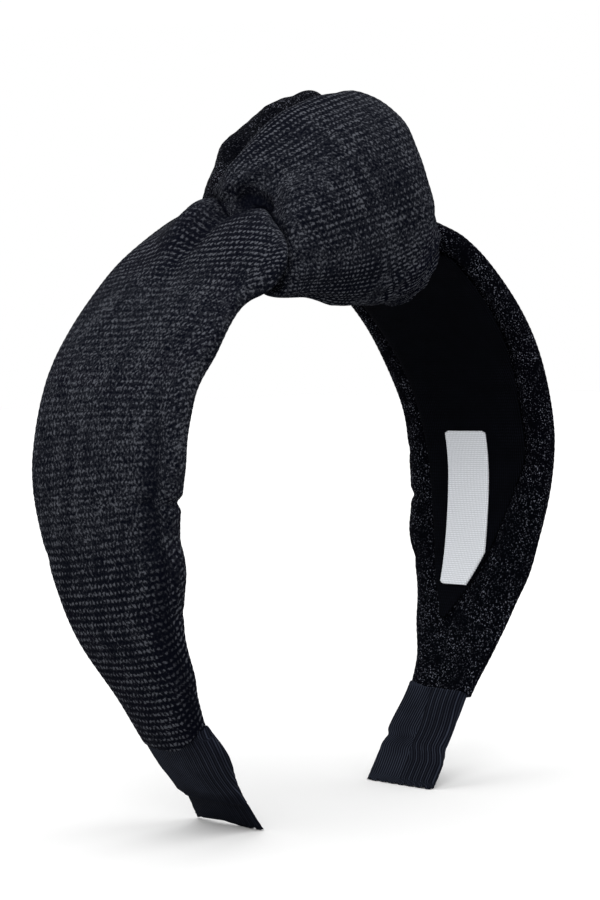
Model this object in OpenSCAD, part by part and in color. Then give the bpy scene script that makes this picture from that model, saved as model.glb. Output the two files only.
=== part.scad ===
// Padded headband with a puffed knot at the crown, ribbon-bound tips, a cloth lining and a bare woven label.
// X runs to the right leg, -Y is the wearer's forehead side, Z is up. The headband stands on its two tips.

/* [Arch] */
// Width inside the arch at its widest
inner_w = 132; // [118:1:146]
// Height of the crown's inner face above the floor
inner_h = 154.5; // [140:0.5:170]

/* [Padded band] */
// Widest part of the band, front to back
band_w = 57; // [50:0.5:64]
// Thickness of the padding and its cloth
pad_t = 8.5; // [7:0.25:11]
// Share of each leg, crown to floor, where the cloth ends and the ribbon comes out
hem_at = 0.857; // [0.83:0.001:0.88]
// How far the left leg's front edge rolls out in front of the band at the knot
roll_reach = 7.5; // [4:0.5:9]
// How far the cloth stands up in a fold behind that rolled edge
fold_rise = 5; // [3:0.5:8]
// How far the same leg's back edge draws in there
back_draw = 2; // [0:0.5:4]

/* [Knot] */
// Front lobe's reach from the middle of the band
wrap_reach = 33; // [32:0.5:40]
// Back lobe's reach from the middle of the band
roll_depth = 34.5; // [32:0.5:40]
// Rise of the knot over the padding
knot_rise = 27; // [20:0.5:30]
// Drop of the front lobe under the inner face of the band
wrap_drop = 23; // [16:0.5:26]
// Height of the front lobe's widest level, over the inner face of the band
wrap_waist = -3; // [-6:0.5:4]
// How much lower that level lies at the knot's right end
waist_fall = 6; // [0:0.5:8]
// Drop of the back lobe under the inner face of the band
back_drop = 12; // [8:0.5:18]
// Width of the gathered band inside the knot
core_w = 26; // [20:1:34]
// Depth of the crease between the two lobes
crease_deep = 9; // [5:0.5:12]
// How far the same crease lies behind the middle of the band
crease_back = 8; // [4:0.5:10]
// Thinnest cloth between the knot's outside and the gathered band
knot_wall = 1.5; // [1:0.25:3]

/* [Lining] */
// Cloth turned in over the lining at each edge, at the band's widest part
hem_w = 3.5; // [2:0.25:6]
// Thickness of the lining
lining_t = 1; // [0.8:0.1:1.5]

/* [Label] */
// Width of the woven label
label_w = 15; // [12:0.5:18]
// Length of the woven label
label_l = 45; // [36:1:52]
// Thickness of the woven label
label_t = 0.8; // [0.6:0.1:1.2]

/* [Ribbon tips] */
// Width of the ribbon round each tip
ribbon_w = 22.5; // [18:0.5:26]
// Thickness of the ribbon-bound tip where it comes out of the cloth
ribbon_t = 4.4; // [3.4:0.2:6]
// Thickness of the same tip at the floor
tip_t = 2.4; // [1.6:0.2:3.4]

/* [Hidden] */

// Clearance between neighbouring pieces
gap = 0.35;
cloth = "#24262b";
ribbon = "#1e2026";

// Inner line of a leg from the crown to the floor. The row before the crown mirrors the row after it.
// along: share of the leg, out: share of half inner_w, up: share of inner_h,
// half: share of half band_w, pad: share of pad_t
LEG = [
    [-0.1, -0.288, 0.978, 0.93, 1.00],
    [0.0, 0.000, 1.000, 0.90, 1.00],
    [0.1, 0.288, 0.978, 0.93, 1.00],
    [0.2, 0.540, 0.911, 0.98, 1.00],
    [0.3, 0.764, 0.820, 0.99, 1.00],
    [0.4, 0.928, 0.712, 0.96, 1.00],
    [0.5, 0.998, 0.589, 0.91, 1.00],
    [0.6, 0.976, 0.462, 0.83, 1.00],
    [0.7, 0.906, 0.338, 0.66, 0.94],
    [0.8, 0.782, 0.221, 0.47, 0.80],
    [0.9, 0.632, 0.110, 0.40, 0.66],
    [1.0, 0.466, 0.000, 0.39, 0.66]
];

// Rolled edge and fold of the left leg where it tucks into the knot.
// along: share of the leg, grow: share of roll_reach and back_draw, and its square a share of fold_rise
ROLL = [
    [-1.00, 0.0],
    [-0.40, 0.0],
    [-0.31, 0.0],
    [-0.25, 0.35],
    [-0.19, 1.0],
    [0.00, 1.0]
];

// Front lobe of the knot, left to right.
// along: share of the leg, top: share of pad_t + knot_rise, reach: share of wrap_reach,
// drop: share of wrap_drop
WRAP = [
    [-0.125, 0.32, 0.84, 0.24],
    [-0.118, 0.45, 0.92, 0.35],
    [-0.090, 0.59, 0.96, 0.50],
    [-0.045, 0.78, 0.99, 0.79],
    [-0.010, 0.94, 1.00, 0.95],
    [0.020, 0.98, 1.00, 0.99],
    [0.045, 1.04, 1.00, 0.96],
    [0.068, 0.98, 1.00, 0.90],
    [0.090, 0.62, 1.00, 0.87],
    [0.108, 0.35, 0.98, 0.83],
    [0.120, 0.30, 0.90, 0.66]
];

// Back lobe of the knot, left to right, with the same columns on roll_depth and back_drop.
BACK = [
    [-0.125, 0.24, 0.68, 0.00],
    [-0.112, 0.36, 0.74, 0.30],
    [-0.090, 0.49, 0.80, 0.60],
    [-0.077, 0.61, 0.84, 0.70],
    [-0.050, 0.71, 0.90, 0.90],
    [-0.010, 0.86, 0.97, 1.00],
    [0.030, 1.03, 1.00, 1.00],
    [0.050, 1.11, 1.00, 0.90],
    [0.072, 1.15, 0.98, 0.70],
    [0.092, 1.02, 0.95, 0.45],
    [0.110, 0.60, 0.90, 0.20],
    [0.120, 0.32, 0.86, 0.02]
];

// Lining's edges on either leg. along: share of the leg, front and back: shares of half the lining's width
LINING = [
    [0.00, -0.96, 0.84],
    [0.20, -0.96, 0.84],
    [0.30, -0.94, 0.82],
    [0.42, -0.81, 0.73],
    [0.51, -0.78, 0.66],
    [0.56, -0.63, 0.60],
    [0.63, -0.40, 0.50],
    [0.69, -0.17, 0.39],
    [0.75, 0.12, 0.18]
];

// Share of the padding's thickness that the dome loses at the band's edges
edge_fall = 0.46;
// Share of a leg where the left end of the knot lies, at the middle of the band
knot_left = -0.125;
// Share of a leg where the right end of the knot lies
knot_right = 0.12;
// How much further left the knot reaches at the front edge, and less at the back edge
knot_skew = 0.08;
// How much further right the front of the knot's left end leans for each thickness of padding above the band
knot_lean = 0.042;
// Share of a leg over which the slant dies away on either side of the knot's left end
skew_fade = 0.225;
// Shares of the right leg between which the gathered band opens to its full width
open_from = 0.03;
open_to = 0.17;
// Share of a leg over which a lobe or a leg rounds into the knot
tuck = 0.035;
// Half width of the lining inside the knot, as a share of half core_w
narrow_share = 0.77;
// Share of a leg over which the lining widens outside the knot
widen = 0.06;
// Place of the label's upper edge on the right leg, and its offset to the back
label_at = 0.474;
label_y = 0.2;
// Thickness of the gathered band, as a share of pad_t
core_share = 0.8;

// Roundness of a ring's sides: 1 is an ellipse, less is boxier
pad_round = 0.5;
channel_round = 0.4;
ribbon_round = 0.35;
// Roundness of a lobe's outer line: sideways below its widest level, sideways above it, and up and down
lobe_below = 0.5;
lobe_above = 0.85;
lobe_high = 0.8;
// Share of a lobe's drop that is left at its seam under the band, and share of its reach where it is whole
seam_drop = 0.3;
seam_reach = 0.7;
// Fall of a lobe's shoulder beside the channel, for each mm past the channel's side
shoulder = 2;
// Share of a lobe's reach that the crease on top takes up
crease_reach = 0.45;
// Shares of the right leg between which the front lobe's widest level gets lower
fall_from = 0.02;
fall_to = 0.12;
// Middle of the left leg's fold, and half of its width
fold_at = 7;
fold_half = 9;
// Share of wrap_reach in front of the middle where the left end leans its full amount
lean_reach = 0.625;
// Small step along a leg that gives the inner line's direction
step = 0.004;

function seg(table, x, i = 0) = i >= len(table) - 2 || x < table[i + 1][0] ? i : seg(table, x, i + 1);
function slope(table, col, i) =
    let (a = max(i - 1, 0), b = min(i + 1, len(table) - 1))
    (table[b][col] - table[a][col]) / (table[b][0] - table[a][0]);
// Smooth value of a table's column at x
function at(table, col, x) =
    let (
        i = seg(table, x),
        run = table[i + 1][0] - table[i][0],
        t = max(0, min(1, (x - table[i][0]) / run)),
        p = table[i][col],
        q = table[i + 1][col]
    )
    p * (2 * t^3 - 3 * t^2 + 1) + q * (3 * t^2 - 2 * t^3)
    + run * (slope(table, col, i) * (t^3 - 2 * t^2 + t) + slope(table, col, i + 1) * (t^3 - t^2));
function ease(t) = let (u = max(0, min(1, t))) u * u * (3 - 2 * u);
function mix(a, b, t) = a + (b - a) * t;
function power(v, e) = sign(v) * abs(v)^e;

// Inner line: a runs from -1 at the left tip over 0 at the crown to 1 at the right tip
function line(a) = [sign(a) * at(LEG, 1, abs(a)) * inner_w / 2, at(LEG, 2, abs(a)) * inner_h];
function outward(a) =
    let (d = line(min(a + step, 1)) - line(max(a - step, -1)), n = norm(d))
    [-d[1] / n, d[0] / n];
// Length of the inner line from the crown to a tip, which turns lengths into shares
function run_from(i, steps) =
    i == steps ? 0 : norm(line((i + 1) / steps) - line(i / steps)) + run_from(i + 1, steps);
leg_run = run_from(0, 40);
// The clearance as a share of a leg, and the wider one where the left leg's end faces the slanted knot
gap_share = gap / leg_run;
end_gap = 3 * gap_share;
// Point at share a, y from the middle and height h over the inner face
function place(a, y, h) =
    let (p = line(a), n = outward(a))
    [p[0] + h * n[0], y, p[1] + h * n[1]];
// Share a of a ring's point, slanted with the knot's left end
function skew(a, y, h) =
    let (
        slant = knot_skew * y / wrap_reach,
        lean = knot_lean * max(-0.5, min(1.5, h / pad_t)) * ease(-y / (wrap_reach * lean_reach)),
        fade = ease(a > knot_left ? 1 - (a - knot_left) / skew_fade : 1 - (knot_left - a) / skew_fade)
    )
    a + (slant + lean) * fade;
// Point of such a ring
function slanted(a, y, h) = place(skew(a, y, h), y, h);

function full_half(a) = at(LEG, 3, abs(a)) * band_w / 2;
function padding(a) = at(LEG, 4, abs(a)) * pad_t;
// Half width of the band, which is gathered inside the knot
function band_half(a) =
    a > knot_left
        ? mix(core_w / 2, full_half(a), opened(a))
        : mix(core_w / 2, full_half(a), sqrt(max(0, 1 - max(0, 1 - (knot_left - a) / tuck)^2)));
// How far the right leg has opened at share a, and the thickness of the padding there
function opened(a) = ease((a - open_from) / (open_to - open_from));
function open_t(a) = mix(pad_t * core_share, padding(a), opened(a));

// Ring of a padded strip: rounded box of half widths f and b, from height low to high
function strip(a, f, b, low, high, round = pad_round, count = 24, fold = 0) = [
    for (k = [0 : count - 1])
        let (
            angle = 360 * (k + 0.5) / count,
            c = power(cos(angle), round),
            s = power(sin(angle), round),
            y = c < 0 ? f * c : b * c,
            dome = s > 0 ? 1 - edge_fall * c * c : 1
        )
        slanted(a, y, mix(low, high, 0.5 + 0.5 * s * dome) + fold * exp(-((y - fold_at) / fold_half)^2) * max(0, s))
];

// Closed skin over rings of equal count, with a strip of faces across each end
module skin(rings) {
    n = len(rings[0]);
    last = (len(rings) - 1) * n;
    sides = [
        for (i = [0 : len(rings) - 2], j = [0 : n - 1])
            let (a = i * n + j, b = i * n + (j + 1) % n)
            each [[a, a + n, b], [b, a + n, b + n]]
    ];
    first_end = [
        for (k = [0 : n / 2 - 2])
            each [[k, k + 1, n - 2 - k], [k, n - 2 - k, n - 1 - k]]
    ];
    last_end = [
        for (k = [0 : n / 2 - 2])
            each [[last + k, last + n - 2 - k, last + k + 1], [last + k, last + n - 1 - k, last + n - 2 - k]]
    ];
    polyhedron([for (ring = rings) each ring], concat(sides, first_end, last_end));
}

// Left leg, with the front roll that tucks into the knot, then the gathered band up to the crown
module band_left() {
    leg = [for (i = [0 : 22]) mix(-hem_at, knot_left - tuck, i / 22)];
    turn = [for (i = [1 : 6]) knot_left - end_gap - (tuck - end_gap) * (1 - sin(90 * i / 6))];
    core = [for (i = [1 : 5]) mix(knot_left - end_gap, -gap_share / 2, i / 5)];
    color(cloth)
        skin([
            for (a = concat(leg, turn, core))
                let (
                    grow = at(ROLL, 1, a) * ease((knot_left - a) / tuck),
                    half = a > knot_left - 1.01 * end_gap ? core_w / 2 : band_half(a + end_gap),
                    fullness = a > knot_left - tuck ? (half - core_w / 2) / (full_half(a) - core_w / 2) : 1,
                    high = mix(pad_t * core_share, padding(a), fullness)
                )
                strip(a, half + roll_reach * grow, half - back_draw * grow, 0, high, fold = fold_rise * grow^2)
        ]);
}

// Right leg, which opens to its full width under the knot
module band_right() {
    inside = [for (i = [0 : 8]) mix(gap_share / 2, open_to, i / 8)];
    leg = [for (i = [1 : 24]) mix(open_to, hem_at, i / 24)];
    color(cloth)
        skin([
            for (a = concat(inside, leg))
                strip(a, band_half(a), band_half(a), 0, open_t(a))
        ]);
}

// Half width, bottom and top of the channel in the knot for the gathered band and the lining
function channel_half(a) = (a > knot_left ? band_half(a) : core_w / 2) + 2 * gap;
channel_low = -lining_t - 3 * gap;
function channel_high(a) = open_t(a) + 2 * gap;
// Half of a boxy ring, from the seam below to the crease above. side is -1 for the front and 1 for the back.
function box_y(half, s) = half * power(s, channel_round);
function box_h(low, high, c) = mix(low, high, 0.5 + 0.5 * power(c, channel_round));
function channel(a, side, count) = [
    for (k = [0 : count - 1])
        let (
            angle = 180 * k / (count - 1),
            s = sin(angle),
            y = box_y(channel_half(a), s),
            behind = angle > 90 ? crease_back * (1 - box_y(1, s)) : 0
        )
        slanted(a, side * max(gap / 2, y) + behind, box_h(channel_low, channel_high(a), -cos(angle)))
];

// Outer line of a lobe from the seam below, round its side, to the crease above, clear of the channel
function lobe(table, a, side, sizes, count) =
    let (
        top = at(table, 1, a) * (pad_t + knot_rise),
        reach = at(table, 2, a) * sizes[0],
        drop = at(table, 3, a) * sizes[1] - channel_low + knot_wall,
        waist = sizes[2] - sizes[3] * ease((a - fall_from) / (fall_to - fall_from))
    )
    [
        for (k = [0 : count - 1])
            let (
                angle = 180 * k / (count - 1),
                s = sin(angle),
                c = -cos(angle),
                wide = reach * power(s, c < 0 ? lobe_below : lobe_above),
                under = mix(seam_drop, 1, ease(wide / (reach * seam_reach))),
                crease = crease_deep * top / (pad_t + knot_rise) * ease(1 - wide / (reach * crease_reach)),
                beside = c < 0 ? 0 : max(0, wide - channel_half(a) - knot_wall),
                least = box_h(channel_low - knot_wall, channel_high(a) + knot_wall, c) - shoulder * beside,
                y = max(wide, box_y(channel_half(a) + knot_wall, s)),
                behind = c > 0 ? crease_back * (1 - (wide / reach)^2) : 0,
                h = c < 0
                    ? min(mix(waist, -drop * under, power(-c, lobe_high)), least)
                    : max(mix(waist, top, power(c, lobe_high)) - crease, least)
            )
            slanted(a, side * max(gap / 2, y) + behind, h)
    ];

module lobe_solid(table, side, sizes) {
    count = 15;
    steps = 22;
    skin([
        for (i = [0 : steps])
            let (
                a = mix(knot_left, knot_right, 0.5 - 0.5 * cos(180 * i / steps)),
                outer = lobe(table, a, side, sizes, count),
                inner = channel(a, side, count),
                ring = concat(outer, [for (k = [count - 1 : -1 : 0]) inner[k]])
            )
            side > 0 ? ring : [for (k = [2 * count - 1 : -1 : 0]) ring[k]]
    ]);
}

// Front lobe: the wide cloth that wraps over the crown from front to back
module knot_wrap() {
    color(cloth)
        lobe_solid(WRAP, -1, [wrap_reach, wrap_drop, wrap_waist, waist_fall]);
}

// Back lobe: the roll that shows behind the front one
module knot_roll() {
    color(cloth)
        lobe_solid(BACK, 1, [roll_depth, back_drop, pad_t / 2, 0]);
}

// Edge of the lining, col 1 the front and 2 the back, which runs narrow through the knot's channel
function lining_edge(col, a) =
    let (
        inside = sign(col - 1.5) * narrow_share * core_w / 2,
        outside = at(LINING, col, abs(a)) * (band_w / 2 - hem_w),
        past = a > 0 ? a - knot_right : knot_left - knot_skew - a
    )
    mix(inside, outside, ease(past / widen));

// Thin lining on the inner face, pointed at both ends
module lining() {
    steps = 56;
    last = LINING[len(LINING) - 1][0];
    color("#050506")
        skin([
            for (i = [0 : steps])
                let (
                    a = mix(-last, last, i / steps),
                    front = lining_edge(1, a),
                    back = lining_edge(2, a)
                )
                [
                    place(a, back, -gap - lining_t),
                    place(a, back, -gap),
                    place(a, front, -gap),
                    place(a, front, -gap - lining_t)
                ]
        ]);
}

// Bare woven label on the right leg's lining
module label() {
    steps = 10;
    low = -2 * gap - lining_t - label_t;
    color("#c9cbcd")
        skin([
            for (i = [0 : steps])
                let (
                    a = label_at + label_l / leg_run * i / steps,
                    front = max(label_y - label_w / 2, lining_edge(1, a) + gap),
                    back = min(label_y + label_w / 2, lining_edge(2, a) - gap)
                )
                [
                    place(a, back, low),
                    place(a, back, low + label_t),
                    place(a, front, low + label_t),
                    place(a, front, low)
                ]
        ]);
}

// Ribbon-bound tip of one leg, which gets thinner and is cut level where it meets the floor
module tip(side) {
    steps = 10;
    last = line(side) - line(side * (1 - step));
    rings = [
        for (i = [0 : steps])
            let (
                a = side * mix(hem_at + gap_share, 1, i / steps),
                thick = mix(ribbon_t, tip_t, i / steps),
                ring = strip(a, ribbon_w / 2, ribbon_w / 2, 0, thick, ribbon_round, 20)
            )
            i < steps ? ring : [for (p = ring) [p[0] - p[2] * last[0] / last[1], p[1], 0]]
    ];
    skin(side > 0 ? rings : [for (i = [steps : -1 : 0]) rings[i]]);
}

module tip_left() {
    color(ribbon)
        tip(-1);
}

module tip_right() {
    color(ribbon)
        tip(1);
}

band_left();
band_right();
knot_wrap();
knot_roll();
lining();
label();
tip_left();
tip_right();
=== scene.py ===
import math

import bpy
import numpy as np
from mathutils import Matrix, Vector
from mathutils.kdtree import KDTree


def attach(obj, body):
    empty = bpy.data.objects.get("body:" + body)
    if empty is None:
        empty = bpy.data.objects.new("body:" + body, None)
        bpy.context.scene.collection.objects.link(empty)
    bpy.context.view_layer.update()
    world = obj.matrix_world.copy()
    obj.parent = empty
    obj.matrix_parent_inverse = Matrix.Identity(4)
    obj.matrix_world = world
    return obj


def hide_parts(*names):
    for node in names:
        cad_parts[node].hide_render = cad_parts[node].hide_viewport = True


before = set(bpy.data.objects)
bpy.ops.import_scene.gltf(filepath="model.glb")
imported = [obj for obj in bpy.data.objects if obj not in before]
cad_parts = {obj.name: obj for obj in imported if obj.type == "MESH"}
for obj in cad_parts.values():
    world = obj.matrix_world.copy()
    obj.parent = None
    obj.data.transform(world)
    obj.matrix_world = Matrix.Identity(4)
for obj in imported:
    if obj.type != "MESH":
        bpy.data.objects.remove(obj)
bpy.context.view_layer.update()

# Setting: the headband stands on its two tips on a plain pale table top, in soft studio light.
# The camera looks at the forehead side from the left, from a little over half the headband's height.
camera = bpy.data.objects.new("camera", bpy.data.cameras.new("camera"))
bpy.context.scene.collection.objects.link(camera)
bpy.context.scene.camera = camera
camera.data.sensor_width = 36
camera.data.lens = 86.86
camera_stands = Vector((-0.40304, -0.40466, 0.11913))
camera_turn, camera_down, camera_roll = (math.radians(degrees) for degrees in (44.673, 2.522, 1.706))
camera.matrix_world = (
    Matrix.Translation(camera_stands)
    @ Matrix.Rotation(-camera_turn, 4, "Z")
    @ Matrix.Rotation(math.pi / 2 - camera_down, 4, "X")
    @ Matrix.Rotation(-camera_roll, 4, "Z")
)


def add(tree, kind, feeds=(), **settings):
    """New shader node, with values or links for its inputs."""
    made = tree.nodes.new(kind)
    for key, value in settings.items():
        setattr(made, key, value)
    for socket, feed in dict(feeds).items():
        if isinstance(feed, bpy.types.NodeSocket):
            tree.links.new(feed, made.inputs[socket])
        else:
            made.inputs[socket].default_value = feed
    return made


bpy.context.scene.view_settings.view_transform = "Standard"
studio = bpy.data.worlds.new("studio")
bpy.context.scene.world = studio
studio.use_nodes = True
sky = studio.node_tree
sky.nodes["Background"].inputs["Color"].default_value = (1, 1, 1, 1)
# the light from above is stronger than the light from the sides
sky_parts = add(sky, "ShaderNodeSeparateXYZ", {0: add(sky, "ShaderNodeTexCoord").outputs["Generated"]})
sky_span = {"From Min": 0.15, "From Max": 0.9, "To Min": 1.0, "To Max": 3.2}
sky_ramp = add(sky, "ShaderNodeMapRange", {"Value": sky_parts.outputs["Z"], **sky_span})
sky.links.new(sky_ramp.outputs["Result"], sky.nodes["Background"].inputs["Strength"])
HEADBAND_MIDDLE = Vector((0, 0, 0.1))


def soft_light(name, stands, size, watts):
    """Square light that faces the headband's middle."""
    lamp = bpy.data.objects.new(name, bpy.data.lights.new(name, "AREA"))
    bpy.context.scene.collection.objects.link(lamp)
    lamp.data.size = size
    lamp.data.energy = watts
    lamp.location = stands
    lamp.rotation_euler = (HEADBAND_MIDDLE - Vector(stands)).to_track_quat("-Z", "Y").to_euler()


soft_light("key_light", stands=(-0.85, -0.6, 0.85), size=0.6, watts=6)

table_top = bpy.data.objects.new("table_top", bpy.data.meshes.new("table_top"))
bpy.context.scene.collection.objects.link(table_top)
table_reach = 4.0
table_corners = [(x * table_reach, y * table_reach, 0) for x, y in ((-1, -1), (1, -1), (1, 1), (-1, 1))]
table_top.data.from_pydata(table_corners, [], [(0, 1, 2, 3)])
table_paint = bpy.data.materials.new("table_paint")
table_paint.use_nodes = True
paint = table_paint.node_tree.nodes["Principled BSDF"]
paint.inputs["Base Color"].default_value = (0.46, 0.46, 0.46, 1)
paint.inputs["Roughness"].default_value = 0.9
paint.inputs["Specular IOR Level"].default_value = 0.0
table_top.data.materials.append(table_paint)

# Left leg: a flat pad of wadding on a curved core strip, sewn into dark cloth with rows of light stitches.
# The cloth is turned in along both edges. At the knot its front edge rolls forward, to end in a round nose.
MM = 0.001
INNER_WIDTH, INNER_HEIGHT, BAND_WIDTH, PAD = 132, 154.5, 57, 8.5
# share of the leg from crown to floor, then shares of the sizes above: out, up, half width, padding
LEG = np.array([
    [-0.1, -0.288, 0.978, 0.93, 1.00],
    [0.0, 0.000, 1.000, 0.90, 1.00],
    [0.1, 0.288, 0.978, 0.93, 1.00],
    [0.2, 0.540, 0.911, 0.98, 1.00],
    [0.3, 0.764, 0.820, 0.99, 1.00],
    [0.4, 0.928, 0.712, 0.96, 1.00],
    [0.5, 0.998, 0.589, 0.91, 1.00],
    [0.6, 0.976, 0.462, 0.83, 1.00],
    [0.7, 0.906, 0.338, 0.66, 0.94],
    [0.8, 0.782, 0.221, 0.47, 0.80],
    [0.9, 0.632, 0.110, 0.40, 0.66],
    [1.0, 0.466, 0.000, 0.39, 0.66],
])
# share of the leg where the cloth ends over the ribbon
HEM_AT = 0.853


def column(table, which, share):
    """Smooth value of one column of a table at many shares."""
    at, value = table[:, 0], table[:, which]
    share = np.asarray(share, float)
    last = len(at) - 1
    ahead, behind = np.minimum(np.arange(last + 1) + 1, last), np.maximum(np.arange(last + 1) - 1, 0)
    slope = (value[ahead] - value[behind]) / (at[ahead] - at[behind])
    row = np.clip(np.searchsorted(at, share, side="right") - 1, 0, last - 1)
    run = at[row + 1] - at[row]
    t = np.clip((share - at[row]) / run, 0, 1)
    return (
        value[row] * (2 * t**3 - 3 * t**2 + 1)
        + value[row + 1] * (3 * t**2 - 2 * t**3)
        + run * (slope[row] * (t**3 - 2 * t**2 + t) + slope[row + 1] * (t**3 - t**2))
    )


def ease(t):
    """From 0 to 1 with a soft start and end, and level outside."""
    t = np.clip(t, 0, 1)
    return t * t * (3 - 2 * t)


def bump(x, width):
    """Round hump, 1 high at 0."""
    return np.exp(-((x / width) ** 2))


def inner_line(share):
    """Middle of the band's inner face in mm, out and up, at a share of a leg; below 0 is the left leg."""
    share = np.asarray(share, float)
    out = np.sign(share) * column(LEG, 1, np.abs(share)) * INNER_WIDTH / 2
    return np.stack([out, column(LEG, 2, np.abs(share)) * INNER_HEIGHT], -1)


def place(share, across, height):
    """Points in mm at a share of the leg, across the band from its middle, and over its inner face."""
    share, across, height = np.broadcast_arrays(share, across, height)
    step = 0.004
    along = inner_line(np.minimum(share + step, 1)) - inner_line(np.maximum(share - step, -1))
    along /= np.linalg.norm(along, axis=-1, keepdims=True)
    foot = inner_line(share)
    out, up = foot[..., 0] - height * along[..., 1], foot[..., 1] + height * along[..., 0]
    return np.stack([out, across, up], -1)


# where the knot starts as a share of the leg, and how far its front lobe reaches forward in mm
KNOT_LEFT, WRAP_REACH = -0.125, 33.0
# the knot's twist: shares of the leg that it spans, slants and leans, and the reach of its lean in mm
TWIST_SPAN, TWIST_SLANT, TWIST_LEAN, LEAN_REACH = 0.225, 0.08, 0.042, 20.6


def slant(share, across, height):
    """Share of the leg after the knot's twist has slanted its left end and the leg that enters there."""
    fade = ease(1 - np.abs(share - KNOT_LEFT) / TWIST_SPAN)
    lean = TWIST_LEAN * np.clip(height / PAD, -0.5, 1.5) * ease(-across / LEAN_REACH)
    return share + (TWIST_SLANT * across / WRAP_REACH + lean) * fade


def evenly(ring, count):
    """The same closed or open line with count points, evenly spaced."""
    run = np.r_[0, np.cumsum(np.linalg.norm(np.diff(ring, axis=0), axis=1))]
    at = np.linspace(0, run[-1], count)
    return np.stack([np.interp(at, run, ring[:, k]) for k in range(ring.shape[1])], -1)


# share of the half height that a pad's outer face loses at its edges
DOME_FALL = 0.46


def pad_ring(front, back, low, high, roundness=0.5, count=128):
    """Section of a pad, from the middle of its inner face round its front edge: across and height."""
    angle = np.linspace(-math.pi / 2, -2.5 * math.pi, 721)
    c = np.sign(np.cos(angle)) * np.abs(np.cos(angle)) ** roundness
    s = np.sign(np.sin(angle)) * np.abs(np.sin(angle)) ** roundness
    # the outer face is domed, and falls towards both edges
    dome = np.where(s > 0, 1 - DOME_FALL * c * c, 1)
    height = low + (high - low) * (0.5 + 0.5 * s * dome)
    return evenly(np.stack([np.where(c < 0, front * c, back * c), height], -1), count + 1)[:-1]


def outward_normals(rings):
    """Normals of a loft whose rings close on themselves."""
    along = np.gradient(rings, axis=0)
    around = np.roll(rings, -1, 1) - np.roll(rings, 1, 1)
    normal = np.cross(along, around)
    return normal / np.maximum(np.linalg.norm(normal, axis=-1, keepdims=True), 1e-9)


def steps_long(lines, axis):
    """Length of each step from point to point along one axis of a grid of points."""
    return np.linalg.norm(np.diff(lines, axis=axis), axis=2)


def measured(rings, middle):
    """Cloth's own measure in mm on a loft: round each ring from its middle column, and along that column."""
    closed = np.concatenate([rings, rings[:, :1]], 1)
    round_ring = np.concatenate([np.zeros((len(rings), 1)), np.cumsum(steps_long(closed, 1), 1)], 1)
    round_ring -= round_ring[:, middle : middle + 1]
    spine = np.r_[0, np.cumsum(steps_long(rings, 0)[:, middle])]
    return round_ring, np.repeat(spine[:, None], closed.shape[1], 1)


def loft(name, rings, across, along, **marks):
    """Closed piece over rings of points in mm. Its UVs are the cloth's measure; marks guide its colours."""
    count, around = rings.shape[:2]
    i, j = np.arange(count - 1)[:, None], np.arange(around)[None, :]
    next_j = (j + 1) % around
    here, ahead = i * around, (i + 1) * around
    quads = np.stack([here + j, ahead + j, ahead + next_j, here + next_j], -1)
    weave = np.stack([across, along], -1)
    corners = np.stack([weave[:-1, :-1], weave[1:, :-1], weave[1:, 1:], weave[:-1, 1:]], 2)
    faces = [tuple(quad) for quad in quads.reshape(-1, 4).tolist()]
    last = (count - 1) * around
    faces.append(tuple(range(around)))
    faces.append(tuple(range(last + around - 1, last - 1, -1)))
    mesh = bpy.data.meshes.new(name)
    mesh.from_pydata((rings.reshape(-1, 3) * MM).tolist(), [], faces)
    uv = mesh.uv_layers.new(name="weave")
    ends = np.concatenate([weave[0, :-1], weave[-1, :-1][::-1]])
    uv.data.foreach_set("uv", np.concatenate([corners.reshape(-1, 2), ends]).astype(np.float32).ravel())
    for mark, amount in marks.items():
        layer = mesh.attributes.new(mark, "FLOAT", "POINT")
        amounts = np.broadcast_to(amount, (count, around)).astype(np.float32)
        layer.data.foreach_set("value", amounts.ravel())
    mesh.shade_smooth()
    piece = bpy.data.objects.new(name, mesh)
    bpy.context.scene.collection.objects.link(piece)
    return piece


# the weave in mm: from row to row, from stitch to stitch, and how far the rows stand up
ROW_PITCH, STITCH_PITCH, ROW_RELIEF = 2.0, 1.5, 0.07


def with_rows(rings, along):
    """The loft with the cloth's rows raised on it."""
    wave = 0.5 + 0.5 * np.cos(2 * math.pi * along[:, :-1] / ROW_PITCH)
    return rings + outward_normals(rings) * (wave * ROW_RELIEF)[..., None]


SLACK_LENGTHWISE, SLACK_CROSSWISE = 0.16, 0.14


def slack(across, along):
    """Height of the shallow crossing waves that wadding leaves in cloth."""
    lengthwise = np.sin(along / 5.3 + 1.4 * np.sin(across / 8))
    crosswise = np.sin(across / 4.1 + along / 11)
    return SLACK_LENGTHWISE * lengthwise + SLACK_CROSSWISE * crosswise


def calc(tree, operation, *values, clamp=False):
    """Output of a math node."""
    made = add(tree, "ShaderNodeMath", dict(enumerate(values)), operation=operation, use_clamp=clamp)
    return made.outputs[0]


def scaled(tree, value, times, plus=0.0, clamp=False):
    """Output of a math node: a value times another, plus a third."""
    return calc(tree, "MULTIPLY_ADD", value, times, plus, clamp=clamp)


def swung(tree, noise, strength):
    """Noise as a swing about 0, by half the strength each way."""
    return scaled(tree, noise, strength, -strength / 2)


def way(tree, operation, *values):
    """Output of a vector math node."""
    return add(tree, "ShaderNodeVectorMath", dict(enumerate(values)), operation=operation).outputs[0]


def turned(tree, value):
    """From 1 to -1 and back for each whole turn of a value."""
    return calc(tree, "COSINE", calc(tree, "MULTIPLY", value, 2 * math.pi))


def noise_on(tree, measure, pitch, detail=2.0):
    """Soft noise node with grains of about one pitch."""
    return add(tree, "ShaderNodeTexNoise", {"Vector": measure, "Scale": 1 / pitch, "Detail": detail})


def grain(tree, measure, pitch, detail=2.0):
    """Soft noise from 0 to 1 with grains of about one pitch."""
    return noise_on(tree, measure, pitch, detail).outputs["Fac"]


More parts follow.
